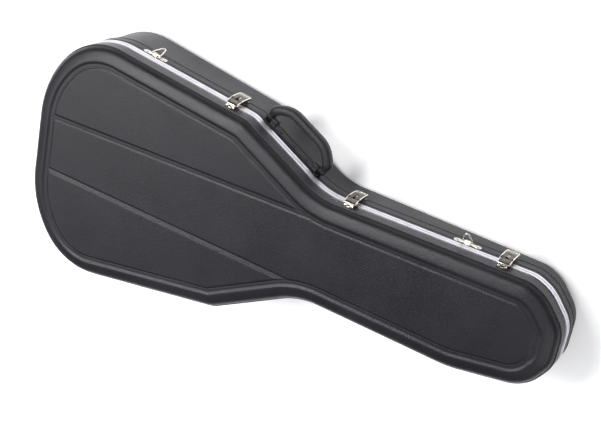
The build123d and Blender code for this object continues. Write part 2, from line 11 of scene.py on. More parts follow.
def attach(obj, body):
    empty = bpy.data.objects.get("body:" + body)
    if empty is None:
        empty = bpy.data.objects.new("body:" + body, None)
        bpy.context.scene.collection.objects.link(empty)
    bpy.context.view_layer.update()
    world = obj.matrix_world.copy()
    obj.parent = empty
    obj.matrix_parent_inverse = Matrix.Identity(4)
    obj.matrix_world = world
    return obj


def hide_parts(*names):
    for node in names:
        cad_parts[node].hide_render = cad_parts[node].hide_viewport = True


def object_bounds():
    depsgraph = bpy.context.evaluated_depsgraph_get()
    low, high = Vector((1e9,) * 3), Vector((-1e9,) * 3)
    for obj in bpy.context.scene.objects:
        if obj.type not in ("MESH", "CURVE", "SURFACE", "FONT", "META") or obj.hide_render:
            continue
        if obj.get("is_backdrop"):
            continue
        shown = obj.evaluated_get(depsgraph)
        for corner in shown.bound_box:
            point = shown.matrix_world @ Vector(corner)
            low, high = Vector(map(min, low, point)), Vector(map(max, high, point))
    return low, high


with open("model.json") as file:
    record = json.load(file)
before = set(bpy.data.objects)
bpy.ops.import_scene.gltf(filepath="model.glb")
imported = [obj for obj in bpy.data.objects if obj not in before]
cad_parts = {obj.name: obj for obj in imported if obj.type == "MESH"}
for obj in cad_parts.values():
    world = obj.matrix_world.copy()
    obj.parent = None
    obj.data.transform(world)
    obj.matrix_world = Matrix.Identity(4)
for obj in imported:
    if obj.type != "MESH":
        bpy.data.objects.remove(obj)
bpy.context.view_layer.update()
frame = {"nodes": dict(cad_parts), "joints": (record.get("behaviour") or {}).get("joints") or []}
NODES = frame["nodes"]
JOINTS = {joint["name"]: joint for joint in frame["joints"]}

# -------- dimensions, millimetres
# Valance frame: the parting plane is z = 0, x runs from the tail to the head, +y is the handle side.
MM = 0.001
LENGTH = 1090.0
DEPTH_TAIL, DEPTH_HEAD = 140.0, 75.0
WEDGE = math.atan((DEPTH_TAIL - DEPTH_HEAD) / LENGTH)
SLOPE = math.tan(WEDGE)
CROWN = 48.0
SHELL = 2.6
WALL_INSET, LOWER_INSET, CROWN_INSET = 1.6, 4.8, 2.8
LID_LEDGE, BASE_LEDGE = 31.0, 37.0
# Outline corners: x, y, rounding radius, tail end first, then the treble side.
OUTLINE = [
    (0.0, 135.0, 200.0), (97.8, 245.3, 130.0), (442.8, 192.9, 50.0), (610.1, 101.1, 134.0),
    (1014.2, 98.5, 60.0), (1047.4, 83.7, 80.0), (LENGTH, 35.0, 60.0), (LENGTH, -35.0, 60.0),
    (1052.8, -93.0, 80.0), (911.7, -114.8, 200.0), (610.1, -101.1, 134.0), (442.8, -192.9, 50.0),
    (97.8, -245.3, 130.0), (0.0, -135.0, 200.0),
]
# Relief of the large faces: inset from the outline against depth below the crown.
PANEL = 0.5
BORDER = [(28.5, 0.0), (29.5, 0.02), (30.6, 0.25), (32.2, 0.95), (34.4, 1.9), (36.0, 2.05), (38.4, 1.75),
          (40.6, 2.0), (41.8, 2.2), (42.6, 1.95), (43.8, 0.95), (44.8, 0.55), (45.8, PANEL),
          (46.8, PANEL), (47.8, PANEL)]
# Channels along the faces: start, end, and distance towards the treble side against depth.
RIBS = [
    ((33.0, 64.0), (616.0, 66.0),
     [(9.0, PANEL), (8.0, PANEL), (7.0, 0.6), (5.4, 1.3), (3.8, 1.95), (2.6, 2.05), (0.4, 1.75),
      (-1.8, 2.0), (-2.9, 2.2), (-3.7, 1.95), (-4.9, 0.95), (-5.9, 0.55), (-6.9, PANEL), (-7.9, PANEL)]),
    ((33.0, -46.0), (598.0, -72.0),
     [(8.0, PANEL), (7.0, PANEL), (6.0, 0.6), (4.9, 1.3), (3.8, 2.0), (3.0, 2.15), (2.0, 2.0),
      (-1.6, 1.4), (-5.2, 0.7), (-6.4, 0.55), (-7.4, PANEL), (-8.4, PANEL)]),
]


def seat(points):
    """Valance millimetres to row metres, as an (N, 3) array."""
    p = np.asarray(points, float).reshape(-1, 3)
    sine, cosine = math.sin(WEDGE), math.cos(WEDGE)
    x = p[:, 0] - LENGTH / 2
    z = p[:, 2] + DEPTH_TAIL - LENGTH / 2 * SLOPE
    return np.column_stack([x * cosine + z * sine, p[:, 1], -x * sine + z * cosine]) * MM


def bottom(x):
    """Height of the case's flat bottom at x, in the valance frame."""
    return -DEPTH_TAIL + np.asarray(x) * SLOPE


# -------- materials
class Nodes:
    """Short way to wire a material's nodes."""

    def __init__(self, name, **inputs):
        self.material = bpy.data.materials.new(name)
        self.material.use_nodes = True
        self.tree = self.material.node_tree
        self.bsdf = self.tree.nodes["Principled BSDF"]
        for key, value in inputs.items():
            self.bsdf.inputs[key.replace("_", " ")].default_value = value
        self.coordinates = self.tree.nodes.new("ShaderNodeTexCoord").outputs["Object"]

    def feed(self, socket, value):
        """Links a socket to another node's output, or sets it to a plain value."""
        if isinstance(value, bpy.types.NodeSocket):
            self.tree.links.new(value, socket)
        else:
            socket.default_value = value

    def node(self, kind, **inputs):
        """New shader node with its inputs fed by name."""
        made = self.tree.nodes.new("ShaderNode" + kind)
        for key, value in inputs.items():
            self.feed(made.inputs[key.replace("_", " ")], value)
        return made

    def scaled(self, scale):
        """Object coordinates stretched by a vector."""
        return self.node("Mapping", Vector=self.coordinates, Scale=scale).outputs["Vector"]

    def noise(self, scale, detail=4.0, roughness=0.55, vector=None, distortion=0.0):
        return self.node("TexNoise", Vector=vector or self.coordinates, Scale=scale, Detail=detail,
                         Roughness=roughness, Distortion=distortion).outputs["Fac"]

    def cells(self, scale):
        """Distance to the edges of small random cells."""
        node = self.node("TexVoronoi", Vector=self.coordinates, Scale=scale)
        node.feature = "DISTANCE_TO_EDGE"
        return node.outputs["Distance"]

    def waves(self, scale, direction, distortion):
        node = self.node("TexWave", Vector=self.coordinates, Scale=scale, Distortion=distortion)
        node.bands_direction = direction
        return node.outputs["Fac"]

    def spread(self, source, low, high, to_low=0.0, to_high=1.0):
        """Source mapped from low..high to to_low..to_high, clamped."""
        return self.node("MapRange", Value=source, From_Min=low, From_Max=high, To_Min=to_low,
                         To_Max=to_high).outputs["Result"]

    def math(self, operation, first, second):
        node = self.tree.nodes.new("ShaderNodeMath")
        node.operation = operation
        for socket, value in zip(node.inputs, (first, second)):
            self.feed(socket, value)
        return node.outputs["Value"]

    def tint(self, factor, first, second):
        """Colour between two, by factor."""
        node = self.tree.nodes.new("ShaderNodeMix")
        node.data_type = "RGBA"
        for socket, value in (("Factor", factor), ("A", (*first, 1)), ("B", (*second, 1))):
            self.feed(node.inputs[socket], value)
        return node.outputs["Result"]

    def bump(self, height, strength, distance, normal=None):
        """Adds a bump, on top of an earlier one's normal if given, and joins it to the shader."""
        more = {"Normal": normal} if normal else {}
        made = self.node("Bump", Height=height, Strength=strength, Distance=distance, **more)
        self.set("Normal", made.outputs["Normal"])
        return made.outputs["Normal"]

    def set(self, socket, source):
        self.feed(self.bsdf.inputs[socket], source)


def leather_grain_plastic(name, dark, light, rough, grain):
    """Moulded plastic with a pebbled grain and faint scuffs; grain scales its pebbles."""
    m = Nodes(name, Specular_IOR_Level=0.30)
    pebbles = m.spread(m.cells(620.0 / grain), 0.0, 0.45)
    fine = m.noise(2400.0 / grain, 3.0)
    cloud = m.noise(9.0, 5.0)
    scuff = m.spread(m.noise(55.0, 8.0, 0.7, m.scaled((1.0, 3.0, 2.0))), 0.60, 0.72)
    m.set("Base Color", m.tint(m.spread(cloud, 0.35, 0.7), dark, light))
    m.set("Roughness", m.math("ADD", m.spread(cloud, 0.3, 0.7, rough - 0.03, rough + 0.04),
                              m.math("MULTIPLY", scuff, -0.04)))
    pebbled = m.bump(pebbles, 0.50, 0.00028)
    uneven = m.bump(m.noise(400.0 / grain, 2.0), 0.45, 0.0006, pebbled)
    m.bump(fine, 0.30, 0.00015, uneven)
    return m.material


def metal(name, dark, light, rough, brush=None, spots=0.0):
    """Plated or brushed metal with a faint uneven finish; brush stretches the marks."""
    m = Nodes(name, Metallic=1.0)
    marks = m.noise(900.0, 6.0, 0.65, m.scaled(brush or (1.0, 1.0, 1.0)))
    cloud = m.noise(70.0, 4.0)
    m.set("Base Color", m.tint(m.spread(cloud, 0.35, 0.68), dark, light))
    m.set("Roughness", m.math("ADD", m.spread(marks, 0.3, 0.7, rough - 0.05, rough + 0.06),
                              m.spread(cloud, 0.62, 0.75, 0.0, spots)))
    m.bump(marks, 0.05, 0.00004)
    return m.material


def nickel_painted_light():
    """Polished nickel whose colour follows each point's painted light value: painted shade in dark brown
    up to painted highlight in bright nickel.
    """
    m = Nodes("nickel_steel", Metallic=1.0)
    painted_light = m.tree.nodes.new("ShaderNodeAttribute")
    painted_light.attribute_name = "painted_light"
    cloud = m.noise(240.0, 4.0)
    # Painted shade and painted highlight from each point's value, with a faint random mottle.
    uneven = m.math("ADD", painted_light.outputs["Fac"], m.spread(cloud, 0.3, 0.7, -0.07, 0.07))
    # Painted light in the base colour: dark brown for painted shade, bright for painted highlight.
    m.set("Base Color", m.tint(m.spread(uneven, 0.0, 1.0), (0.050, 0.040, 0.031), (0.80, 0.77, 0.72)))
    m.set("Roughness", m.spread(m.noise(900.0, 6.0), 0.3, 0.7, 0.14, 0.26))
    m.bump(cloud, 0.06, 0.0001)
    return m.material


def plush(name, dark, light, pile=1.0):
    """Short velvet pile: brushed patches, fine fibres and sheen."""
    m = Nodes(name, Roughness=0.92, Specular_IOR_Level=0.15, Sheen_Weight=0.55, Sheen_Roughness=0.45)
    brushed = m.noise(22.0, 5.0, 0.6, distortion=0.8)
    fibres = m.noise(2600.0 / pile, 4.0, 0.7)
    shade = m.math("ADD", m.spread(brushed, 0.3, 0.72, 0.0, 0.7), m.spread(fibres, 0.3, 0.7, 0.0, 0.3))
    m.set("Base Color", m.tint(shade, dark, light))
    first = m.bump(fibres, 0.5, 0.0004)
    m.bump(brushed, 0.15, 0.0012, first)
    return m.material


def ribbon(name, dark, light):
    """Woven tape."""
    m = Nodes(name, Roughness=0.8, Sheen_Weight=0.3)
    weave = m.math("MULTIPLY", m.waves(420.0, "X", 0.3), m.waves(420.0, "Y", 0.3))
    m.set("Base Color", m.tint(m.spread(weave, 0.0, 0.8), dark, light))
    m.bump(weave, 0.5, 0.0002)
    return m.material


ABS = leather_grain_plastic("abs_shell", (0.0075, 0.0072, 0.0100), (0.0120, 0.0116, 0.0155), 0.36, 1.0)
HANDLE = leather_grain_plastic("handle_plastic", (0.008, 0.008, 0.010), (0.014, 0.014, 0.017), 0.38, 0.7)
SCREWS = metal("black_screws", (0.020, 0.020, 0.022), (0.035, 0.035, 0.038), 0.35, None, 0.1)
ALUMINIUM = metal("valance_aluminium", (0.66, 0.65, 0.70), (0.76, 0.75, 0.80), 0.36,
                  (0.15, 0.15, 3.0), 0.05)
NICKEL = metal("nickel_steel", (0.22, 0.195, 0.165), (0.36, 0.33, 0.29), 0.19, None, 0.12)
WIRE = metal("nickel_wire", (0.56, 0.53, 0.48), (0.70, 0.67, 0.62), 0.20, None, 0.12)
RIVET = metal("rivet_steel", (0.42, 0.40, 0.37), (0.58, 0.56, 0.52), 0.26, None, 0.12)
BRASS = metal("hinge_brass", (0.60, 0.45, 0.22), (0.76, 0.60, 0.33), 0.30, (0.2, 2.0, 2.0), 0.10)
PLUSH = plush("plush", (0.012, 0.012, 0.015), (0.040, 0.040, 0.048))
BOARD = plush("covered_board", (0.014, 0.014, 0.017), (0.046, 0.046, 0.054), 0.8)
RIBBON = ribbon("pull_ribbon", (0.010, 0.010, 0.012), (0.045, 0.045, 0.050))
# Nickel with painted shade and painted highlights, set point by point by the fittings.
NICKEL_PAINTED_LIGHT = nickel_painted_light()


# -------- mesh helpers
def piece(name, points, faces, material, body, replaces=(), sharp=32.0, place=None, painted_tones=None):
    """One visible piece from millimetre points: in the valance frame, or in a fitting's frame given
    by place. The point values, where given, are painted light for each point: low for painted shade, high
    for painted highlight; sharp is the angle of a sharp edge in degrees."""
    if place is None:
        points = seat(points)
    else:
        matrix = np.array(place)
        points = np.asarray(points, float).reshape(-1, 3) @ matrix[:3, :3].T + matrix[:3, 3]
    mesh = bpy.data.meshes.new(name)
    mesh.from_pydata([tuple(p) for p in points], [], [tuple(int(i) for i in f) for f in faces])
    mesh.materials.append(material)
    if painted_tones is not None:
        # Each point's painted light value: low for painted shade, high for painted highlight.
        mesh.attributes.new("painted_light", "FLOAT", "POINT").data.foreach_set("value", painted_tones)
    work = bmesh.new()
    work.from_mesh(mesh)
    bmesh.ops.recalc_face_normals(work, faces=work.faces)
    work.to_mesh(mesh)
    work.free()
    mesh.shade_smooth()
    mesh.set_sharp_from_angle(angle=math.radians(sharp))
    obj = bpy.data.objects.new(name, mesh)
    bpy.context.scene.collection.objects.link(obj)
    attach(obj, body)
    if replaces:
        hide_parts(*replaces)
    return obj


def bevel(obj, width, weld=False):
    """Rounded edges by modifier, in millimetres; weld first where the mesh came from CAD."""
    if weld:
        merge = obj.modifiers.new("weld", "WELD")
        merge.merge_threshold = 1e-6
    edge = obj.modifiers.new("bevel", "BEVEL")
    edge.width = width * MM
    edge.segments = 2
    edge.limit_method = "ANGLE"
    edge.angle_limit = math.radians(35.0)
    edge.harden_normals = False


class Mesh:
    """Points and faces gathered from several closed shapes."""

    def __init__(self):
        self.points = []
        self.faces = []

    def add(self, points, faces):
        start = len(self.points)
        self.points += [tuple(p) for p in points]
        self.faces += [tuple(i + start for i in face) for face in faces]
        return self

    def prism(self, near, far):
        """Solid between two outlines of the same number of points."""
        count = len(near)
        faces = [tuple(range(count)), tuple(range(2 * count - 1, count - 1, -1))]
        faces += [(i, (i + 1) % count, (i + 1) % count + count, i + count) for i in range(count)]
        return self.add(near + far, faces)

    def slab(self, outline, low, high):
        """Outline in (outward, height), made solid between two distances along the wall."""
        return self.prism(*([(x, n, z) for n, z in outline] for x in (low, high)))

    def plate(self, outline, near, far):
        """Outline in (along, height), made solid between two distances outward."""
        return self.prism(*([(x, n, z) for x, z in outline] for n in (near, far)))

    def tube(self, path, radius, closed=False, sides=12, squash=1.0):
        """Round bar along a path, with closed ends or joined up."""
        path = [Vector(p) for p in path]
        count = len(path)
        normal = None
        rings = []
        for i, point in enumerate(path):
            after = path[(i + 1) % count] if closed or i + 1 < count else point
            before = path[i - 1] if closed or i > 0 else point
            tangent = (after - before).normalized()
            if normal is None:
                normal = tangent.orthogonal().normalized()
            normal = (normal - tangent * normal.dot(tangent)).normalized()
            side = tangent.cross(normal)
            r = radius[i] if hasattr(radius, "__len__") else radius
            rings.append([point + (normal * math.cos(a) + side * squash * math.sin(a)) * r
                          for a in (2 * math.pi * k / sides for k in range(sides))])
        return self.loft(rings, closed)

    def loft(self, rings, closed=False):
        """Skin over rings of the same number of points, capped unless closed."""
        sides, count = len(rings[0]), len(rings)
        points = [p for ring in rings for p in ring]
        faces = []
        for i in range(count if closed else count - 1):
            j = (i + 1) % count
            faces += [(i * sides + k, i * sides + (k + 1) % sides,
                       j * sides + (k + 1) % sides, j * sides + k) for k in range(sides)]
        if not closed:
            faces += [tuple(range(sides)), tuple((count - 1) * sides + k for k in range(sides))]
        return self.add(points, faces)

    def grid_sheet(self, front, back):
        """Closed sheet between two equal grids of points."""
        rows, columns = len(front), len(front[0])
        points = [p for row in front for p in row] + [p for row in back for p in row]
        size = rows * columns
        faces = []
        for i in range(rows - 1):
            for j in range(columns - 1):
                a = i * columns + j
                faces.append((a, a + 1, a + columns + 1, a + columns))
                faces.append(tuple(size + k for k in (a, a + columns, a + columns + 1, a + 1)))
        edge = [j for j in range(columns)]
        edge += [i * columns + columns - 1 for i in range(1, rows)]
        edge += [(rows - 1) * columns + j for j in range(columns - 2, -1, -1)]
        edge += [i * columns for i in range(rows - 2, 0, -1)]
        for a, b in zip(edge, edge[1:] + edge[:1]):
            faces.append((a, a + size, b + size, b))
        return self.add(points, faces)

    def pressed(self, rows, thickness):
        """Closed sheet of metal from a grid of points on its outer face."""
        return self.grid_sheet(rows, [[(x, n - thickness, z) for x, n, z in row] for row in rows])


def turn_points(before, here, after, radius, steps):
    """Points of a soft curve that takes the place of a corner."""
    before, here, after = (np.array(p, float) for p in (before, here, after))
    back, ahead = before - here, after - here
    back_length, ahead_length = np.linalg.norm(back), np.linalg.norm(ahead)
    cut = min(radius, back_length * 0.49, ahead_length * 0.49)
    start, end = here + back / back_length * cut, here + ahead / ahead_length * cut
    return [tuple((1 - t) ** 2 * start + 2 * t * (1 - t) * here + t * t * end)
            for t in np.arange(steps + 1) / steps]


def rounded(corners, radius, steps=5):
    """Closed polygon with its corners rounded."""
    return [p for trio in zip(corners[-1:] + corners[:-1], corners, corners[1:] + corners[:1])
            for p in turn_points(*trio, radius, steps)]


def smooth_path(corners, radius, steps=6):
    """Open path with its inner corners rounded."""
    turns = [p for trio in zip(corners, corners[1:], corners[2:])
             for p in turn_points(*trio, radius, steps)]
    return [tuple(corners[0]), *turns, tuple(corners[-1])]


def quarter(steps, start=0.0, end=90.0):
    """(sine, cosine) at equal steps between two angles in degrees."""
    return [(math.sin(a), math.cos(a)) for a in (math.radians(d) for d in np.linspace(start, end, steps))]


def fitting(joint, outward, height, sign=1.0):
    """Matrix from a fitting's frame (x along the wall, y outward, z up; millimetres) to the row.
    The joint's axis passes through (outward, height) of that frame."""
    data = JOINTS[joint]
    along = Vector(data["axis"]) * sign
    up = Vector((math.sin(WEDGE), 0.0, math.cos(WEDGE)))
    out = up.cross(along)
    origin = Vector(data["pos_m"]) - (out * outward + up * height) * MM
    matrix = Matrix.Identity(4)
    for column, axis in enumerate((along, out, up)):
        for row in range(3):
            matrix[row][column] = axis[row] * MM
    for row in range(3):
        matrix[row][3] = origin[row]
    return matrix


# -------- outline
def rib_offset(rib, x, y):
    """Signed distance of points from a channel's centre line, towards the treble side."""
    (ax, ay), (bx, by), _ = rib
    length = math.hypot(bx - ax, by - ay)
    return ((y - ay) * (bx - ax) - (x - ax) * (by - ay)) / length


def relief(x, y, inset):
    """Depth of a large face below the crown."""
    depth = np.interp(inset, *zip(*BORDER))
    for rib in RIBS:
        along = np.interp(rib_offset(rib, x, y), *zip(*rib[2][::-1]))
        near_end = x < rib[1][0] + 30
        depth = np.where((np.asarray(inset) > 35.9) & near_end, np.maximum(depth, along), depth)
    return depth


def sample_outline():
    """Points of the outline and their inward normals, closer together where channels meet it."""
    channel_inset, channel_reach, beyond_end = 43, 11, 45
    arc_step, wide_step, fine_step = 5.0, 12.0, 1.3
    places, normals = [], []
    count = len(OUTLINE)
    directions = []
    for i in range(count):
        here, there = OUTLINE[i], OUTLINE[(i + 1) % count]
        step = np.array([there[0] - here[0], there[1] - here[1]])
        directions.append(step / np.linalg.norm(step))
    for i, (x, y, radius) in enumerate(OUTLINE):
        before, after = directions[i - 1], directions[i]
        turn = math.atan2(before[0] * after[1] - before[1] * after[0], before @ after)
        cut = radius * math.tan(abs(turn) / 2)
        inward = np.array([before[1], -before[0]])
        start = np.array([x, y]) - before * cut
        side = 1.0 if turn < 0 else -1.0
        centre = start + inward * radius * side
        steps = max(6, int(abs(turn) * radius / arc_step) + 1)
        for k in range(steps + 1):
            angle = turn * k / steps
            c, s = math.cos(angle), math.sin(angle)
            normal = np.array([c * inward[0] - s * inward[1], s * inward[0] + c * inward[1]])
            places.append(centre - normal * radius * side)
            normals.append(normal)
    out_places, out_normals = [], []
    total = len(places)
    for i in range(total):
        a, b = places[i], places[(i + 1) % total]
        na, nb = normals[i], normals[(i + 1) % total]
        gap = np.linalg.norm(b - a)
        if gap < 1e-6:
            continue
        steps = max(1, int(gap / wide_step) + (1 if gap > wide_step else 0))
        first, last = a + na * channel_inset, b + nb * channel_inset
        inner = [first + (last - first) * t for t in np.linspace(0, 1, 9)]
        if any(abs(rib_offset(rib, *p)) < channel_reach and p[0] < rib[1][0] + beyond_end
               for rib in RIBS for p in inner):
            steps = max(steps, int(gap / fine_step) + 1)
        for k in range(steps):
            t = k / steps
            normal = na + (nb - na) * t
            out_places.append(a + (b - a) * t)
            out_normals.append(normal / np.linalg.norm(normal))
    return np.array(out_places), np.array(out_normals)


def soften_turns(places, normals):
    """The normals, their turning spread at the head end so that inner rings run round it smoothly."""
    start, reach = 880.0, 34.0
    steps = np.linalg.norm(np.roll(places, -1, axis=0) - places, axis=1)
    along = np.concatenate([[0], np.cumsum(steps)[:-1]])
    total = steps.sum()
    out = normals.copy()
    for i in np.nonzero(places[:, 0] > start)[0]:
        gap = np.abs(along - along[i])
        gap = np.minimum(gap, total - gap)
        weight = np.clip(1 - gap / reach, 0, None) * (steps + np.roll(steps, 1))
        mean = (normals * weight[:, None]).sum(0)
        out[i] = mean / np.linalg.norm(mean)
    return out


EDGE, INWARD = sample_outline()
INWARD = soften_turns(EDGE, INWARD)
COLUMNS = len(EDGE)


def ring(inset, z):
    """The outline moved inward, at height z (a number, or a function of x, y and inset)."""
    plan = EDGE + INWARD * inset
    height = z(plan[:, 0], plan[:, 1], inset) if callable(z) else np.full(COLUMNS, float(z))
    return np.column_stack([plan, height])


def ring_mesh(profile, closed=False):
    """Rings joined into one skin: (points, faces)."""
    rings = [ring(inset, z) for inset, z in profile]
    faces = []
    for i in range(len(rings) if closed else len(rings) - 1):
        j = (i + 1) % len(rings)
        for k in range(COLUMNS):
            m = (k + 1) % COLUMNS
            faces.append((i * COLUMNS + k, i * COLUMNS + m, j * COLUMNS + m, j * COLUMNS + k))
    return np.vstack(rings), faces


def inside(loop, x, y):
    """True where the point is inside the closed loop."""
    loop = np.asarray(loop, float)[:, :2]
    nxt = np.roll(loop, -1, axis=0)
    crossing = ((loop[:, 1] > y) != (nxt[:, 1] > y)) & (
        x < (nxt[:, 0] - loop[:, 0]) * (y - loop[:, 1]) / (nxt[:, 1] - loop[:, 1] + 1e-12) + loop[:, 0]
    )
    return crossing.sum() % 2 == 1


def close_with(points, faces, loop_points, first_index, height, extra=(), lines=(), holes=()):
    """Fills a loop of (points, faces) that starts at first_index, except inside holes, given as pairs
    of a loop and its first index. Extra points and lines are added inside, with z from height(x, y)."""
    coords, edges, known = [], [], {}
    for closed_loop, index in ((loop_points, first_index), *holes):
        start, size = len(coords), len(closed_loop)
        coords += [Vector((p[0], p[1])) for p in closed_loop]
        edges += [(start + i, start + (i + 1) % size) for i in range(size)]
        known.update({start + i: index + i for i in range(size)})
    for line in lines:
        start = len(coords)
        coords += [Vector((p[0], p[1])) for p in line]
        edges += [(start + i, start + i + 1) for i in range(len(line) - 1)]
    coords += [Vector((p[0], p[1])) for p in extra]
    out, _, tris, origin, _, _ = delaunay_2d_cdt(coords, edges, [], 1, 1e-4)
    for hole_points, _ in holes:
        middles = [sum((out[i] for i in tri), Vector((0, 0))) / 3 for tri in tris]
        tris = [tri for tri, middle in zip(tris, middles) if not inside(hole_points, *middle)]
    points = [tuple(p) for p in points]
    index = {}
    for i, (x, y) in enumerate(out):
        old = [known[k] for k in origin[i] if k in known]
        index[i] = old[0] if old else len(points)
        if not old:
            points.append((x, y, float(height(x, y))))
    for tri in tris:
        corners = [index[i] for i in tri]
        if len(set(corners)) == len(corners):
            faces.append(tuple(corners))
    return points, faces


def rib_polylines(margin):
    """The channels' knots as lines along the large faces, stopping short of the border."""
    lines = []
    for rib in RIBS:
        start, end = np.array(rib[0]), np.array(rib[1])
        direction = (end - start) / np.linalg.norm(end - start)
        side = np.array([-direction[1], direction[0]])
        for offset, _ in rib[2]:
            along = start + side * offset + direction * np.arange(-10.0, 640.0, 1.0)[:, None]
            gap = np.sqrt(((along[:, None, :] - EDGE[None]) ** 2).sum(2)).min(1)
            clear = along[gap > margin]
            lines.append(np.vstack([clear[::12], clear[-1:]]))
    return lines


LAST_INSET = BORDER[-1][0]
# An inset that stands for the large faces' middle, inside the border channel.
MIDDLE = 60.0
RIB_GRID = rib_polylines(LAST_INSET + 0.9)


def crown_profile(low, high):
    """Edge of the lid from the wall to the border channel: tight at the wall, then a slow dome."""
    tilts = [(2.8, 80), (3.6, 70), (5, 63), (7, 55), (9, 45), (11, 35), (13, 27), (16, 22.5), (20, 19),
             (24, 15), (27, 10), (28, 4)]
    insets = np.linspace(tilts[0][0], tilts[-1][0], 18)
    slopes = np.tan(np.radians(np.interp(insets, [t[0] for t in tilts], [t[1] for t in tilts])))
    rise = np.concatenate([[0], np.cumsum((slopes[1:] + slopes[:-1]) / 2 * np.diff(insets))])
    return [(inset, low + (high - low) * r / rise[-1]) for inset, r in zip(insets[1:], rise[1:])]


# -------- shells
def lifted(lift):
    """Height function of a ring that keeps a distance above the case's flat bottom."""
    return lambda x, y, inset: bottom(x) + lift


def lid_shell():
    """Thin moulding with a lip under its domed edge and the channels on its face."""
    def face(x, y, inset):
        return CROWN - relief(x, y, inset)
    inner = [(LAST_INSET, CROWN - SHELL - 2.0)]
    inner += [(18.8 - 13.4 * c, 30.0 + 13.4 * s) for s, c in quarter(6, 90.0, 0.0)]
    inner += [(WALL_INSET + SHELL, 29.0), (WALL_INSET + SHELL, 4.4)]
    outer = [(WALL_INSET, 4.4), (WALL_INSET, 9.0), (WALL_INSET, 29.2), (0.95, 29.8), (0.8, 30.5),
             (1.0, 31.1), (1.6, LID_LEDGE + 0.4), (2.5, LID_LEDGE + 0.35),
             (CROWN_INSET, LID_LEDGE + 0.6)]
    outer += crown_profile(LID_LEDGE + 0.6, CROWN)
    outer += [(inset, face) for inset, _ in BORDER]
    points, faces = ring_mesh(inner + outer)
    last = len(points) - COLUMNS
    points, faces = close_with(points, faces, points[last:], last,
                               lambda x, y: face(x, y, MIDDLE), lines=RIB_GRID)
    points, faces = close_with(points, faces, points[:COLUMNS], 0, lambda x, y: CROWN - SHELL - 2.0)
    return piece("lid_moulding", points, faces, ABS, "lid", ["lid_shell"], 38.0)


def base_shell():
    """Thin tray with two lips round its wall, a rounded bottom edge and the channels on its back."""
    def face(x, y, inset):
        return bottom(x) + relief(x, y, inset)

    edge = 18.0
    outer = [(WALL_INSET, -4.4), (WALL_INSET, -9.0), (WALL_INSET, -16.8), (1.1, -17.2), (0.95, -17.8),
             (1.1, -18.4), (WALL_INSET, -18.9), (WALL_INSET, -34.9), (0.95, -35.4), (0.8, -36.1),
             (1.0, -36.8), (2.0, -BASE_LEDGE - 0.2), (LOWER_INSET - 0.6, -BASE_LEDGE - 0.5),
             (LOWER_INSET, -BASE_LEDGE - 1.2), (LOWER_INSET, -44.0)]
    outer += [(LOWER_INSET + edge * (1 - c), lifted(edge * (1 - s))) for s, c in quarter(11)]
    outer += [(inset, face) for inset, _ in BORDER]
    inner_inset, inner_edge = LOWER_INSET + SHELL, edge - SHELL
    inner = [(LAST_INSET, lifted(SHELL + 2.2)), (30.0, lifted(SHELL + 2.2)), (23.0, lifted(SHELL + 0.4))]
    inner += [(inner_inset + inner_edge * (1 - c), lifted(SHELL + inner_edge * (1 - s)))
              for s, c in quarter(5, 80.0, 0.0)]
    inner += [(inner_inset, -38.0), (WALL_INSET + SHELL, -34.0), (WALL_INSET + SHELL, -4.4)]
    points, faces = ring_mesh(inner + outer)
    last = len(points) - COLUMNS
    points, faces = close_with(points, faces, points[last:], last,
                               lambda x, y: face(x, y, MIDDLE), lines=RIB_GRID)
    points, faces = close_with(points, faces, points[:COLUMNS], 0, lambda x, y: bottom(x) + SHELL + 2.2)
    return piece("base_moulding", points, faces, ABS, "base", ["base_shell"], 38.0)


def valances():
    """The aluminium rims' sections, as (inset, height above the parting plane), run round the outline."""
    face = [(0.0, 6.7), (0.0, 2.9), (0.45, 2.5), (0.45, 2.0), (0.0, 1.6), (0.0, 0.7), (0.4, 0.15)]
    channel = [(7.8, 0.15), (7.8, 8.0), (6.5, 8.0), (6.5, 3.0), (1.55, 3.0), (1.55, 7.3), (0.6, 7.3)]
    tongue = [(8.3, 0.15), (8.3, -3.6), (8.6, -4.0), (9.4, -4.0), (9.7, -3.6), (9.7, 3.0), (7.8, 3.0)]
    base = [(inset, -z) for inset, z in face + channel]
    points, faces = ring_mesh(base, closed=True)
    piece("base_rim", points, faces, ALUMINIUM, "base", ["base_valance"], 24.0)
    points, faces = ring_mesh(face + tongue + channel[1:], closed=True)
    piece("lid_rim", points, faces, ALUMINIUM, "lid", ["lid_valance"], 24.0)


